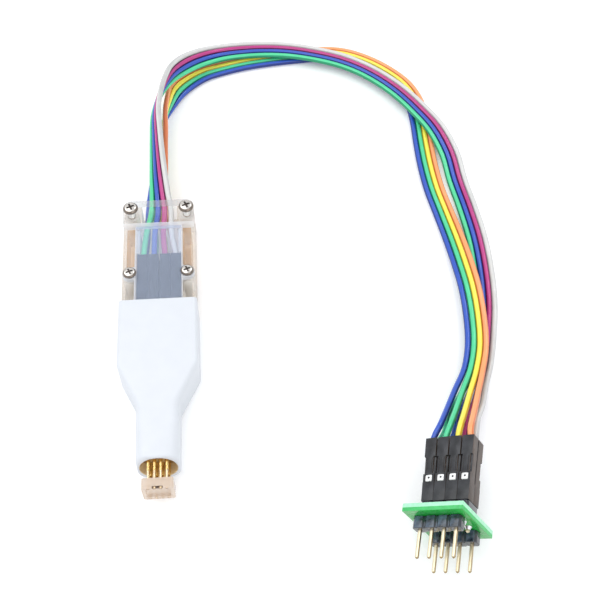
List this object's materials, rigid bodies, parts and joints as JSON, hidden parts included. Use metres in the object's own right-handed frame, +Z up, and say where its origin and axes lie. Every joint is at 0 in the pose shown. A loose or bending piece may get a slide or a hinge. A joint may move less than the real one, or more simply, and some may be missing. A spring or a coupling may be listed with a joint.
{
  "type": "ic test clip",
  "caption": "Spring-pin test probe for small-outline chips: clear and white housing, clear chip locator, rainbow ribbon lead and dual-in-line adapter.",
  "frame": {"origin": "middle of the clip's footprint, on the surface it lies on; the ribbon lead and adapter are left out of it", "axes": "+Y along the clip from its spring pins to the cable end, +X across the pins, +Z up from the surface the clip lies on"},
  "size_m": [0.0897, 0.1566, 0.0193],
  "materials": {
    "shell_white": "moulded ABS, smooth",
    "clear_frame": "clear moulded plastic, slightly tinted",
    "clear_clamp": "clear moulded plastic",
    "frosted_cover": "frosted translucent plastic",
    "screw_nickel": "nickel-plated steel",
    "nylon_black": "black nylon",
    "header_black": "black polyester",
    "contact_tin": "tinned and gilt contact metal",
    "gold": "gold-plated brass",
    "spring_steel": "spring steel",
    "lead_copper": "enamelled copper",
    "carrier": "dark plastic",
    "tip_clear": "clear plastic",
    "wire_blue": "PVC insulation",
    "wire_green": "PVC insulation",
    "wire_yellow": "PVC insulation",
    "wire_orange": "PVC insulation",
    "wire_magenta": "PVC insulation",
    "wire_white": "PVC insulation",
    "board_green": "solder mask on glass epoxy",
    "solder": "solder"
  },
  "bodies": {
    "clip": {"white_shell": "shell_white", "rear_frame": "clear_frame", "cable_clamp": "clear_clamp", "socket_cover": "frosted_cover", "clamp_screws": "screw_nickel", "cover_screws": "screw_nickel", "clip_socket": "nylon_black", "clip_terminals": "contact_tin", "inner_header": "header_black", "inner_pins": "gold", "inner_leads": "lead_copper", "pin_carrier": "carrier", "pogo_barrels": "gold", "plunger_springs": "spring_steel", "wire_a1": "wire_blue", "wire_a2": "wire_green", "wire_a3": "wire_yellow", "wire_a4": "wire_orange", "wire_b1": "wire_green", "wire_b2": "wire_blue", "wire_b3": "wire_magenta", "wire_b4": "wire_white", "adapter_socket": "nylon_black", "adapter_terminals": "contact_tin"},
    "tip_block": {"tip_block": "tip_clear"},
    "plunger_1": {"plunger_1": "gold"},
    "plunger_2": {"plunger_2": "gold"},
    "plunger_3": {"plunger_3": "gold"},
    "plunger_4": {"plunger_4": "gold"},
    "plunger_5": {"plunger_5": "gold"},
    "plunger_6": {"plunger_6": "gold"},
    "plunger_7": {"plunger_7": "gold"},
    "plunger_8": {"plunger_8": "gold"},
    "adapter": {"header_base": "header_black", "header_pins": "gold", "adapter_board": "board_green", "pin_strips": "header_black", "dip_pins": "gold", "solder_joints": "solder"}
  },
  "joints": [
    {"name": "tip_block_slide", "type": "slide", "parent": "clip", "child": "tip_block", "axis": [0, 1, 0], "range_m": [0, 0.001]},
    {"name": "plunger_1_slide", "type": "slide", "parent": "clip", "child": "plunger_1", "axis": [0, 1, 0], "range_m": [0, 0.002], "stiffness_N_per_m": 90, "springref_m": -0.001},
    {"name": "plunger_2_slide", "type": "slide", "parent": "clip", "child": "plunger_2", "axis": [0, 1, 0], "range_m": [0, 0.002], "stiffness_N_per_m": 90, "springref_m": -0.001},
    {"name": "plunger_3_slide", "type": "slide", "parent": "clip", "child": "plunger_3", "axis": [0, 1, 0], "range_m": [0, 0.002], "stiffness_N_per_m": 90, "springref_m": -0.001},
    {"name": "plunger_4_slide", "type": "slide", "parent": "clip", "child": "plunger_4", "axis": [0, 1, 0], "range_m": [0, 0.002], "stiffness_N_per_m": 90, "springref_m": -0.001},
    {"name": "plunger_5_slide", "type": "slide", "parent": "clip", "child": "plunger_5", "axis": [0, 1, 0], "range_m": [0, 0.002], "stiffness_N_per_m": 90, "springref_m": -0.001},
    {"name": "plunger_6_slide", "type": "slide", "parent": "clip", "child": "plunger_6", "axis": [0, 1, 0], "range_m": [0, 0.002], "stiffness_N_per_m": 90, "springref_m": -0.001},
    {"name": "plunger_7_slide", "type": "slide", "parent": "clip", "child": "plunger_7", "axis": [0, 1, 0], "range_m": [0, 0.002], "stiffness_N_per_m": 90, "springref_m": -0.001},
    {"name": "plunger_8_slide", "type": "slide", "parent": "clip", "child": "plunger_8", "axis": [0, 1, 0], "range_m": [0, 0.002], "stiffness_N_per_m": 90, "springref_m": -0.001},
    {"name": "adapter_unplug", "type": "slide", "parent": "clip", "child": "adapter", "axis": [-0.2571, -0.9664, 0], "range_m": [0, 0.007]}
  ]
}
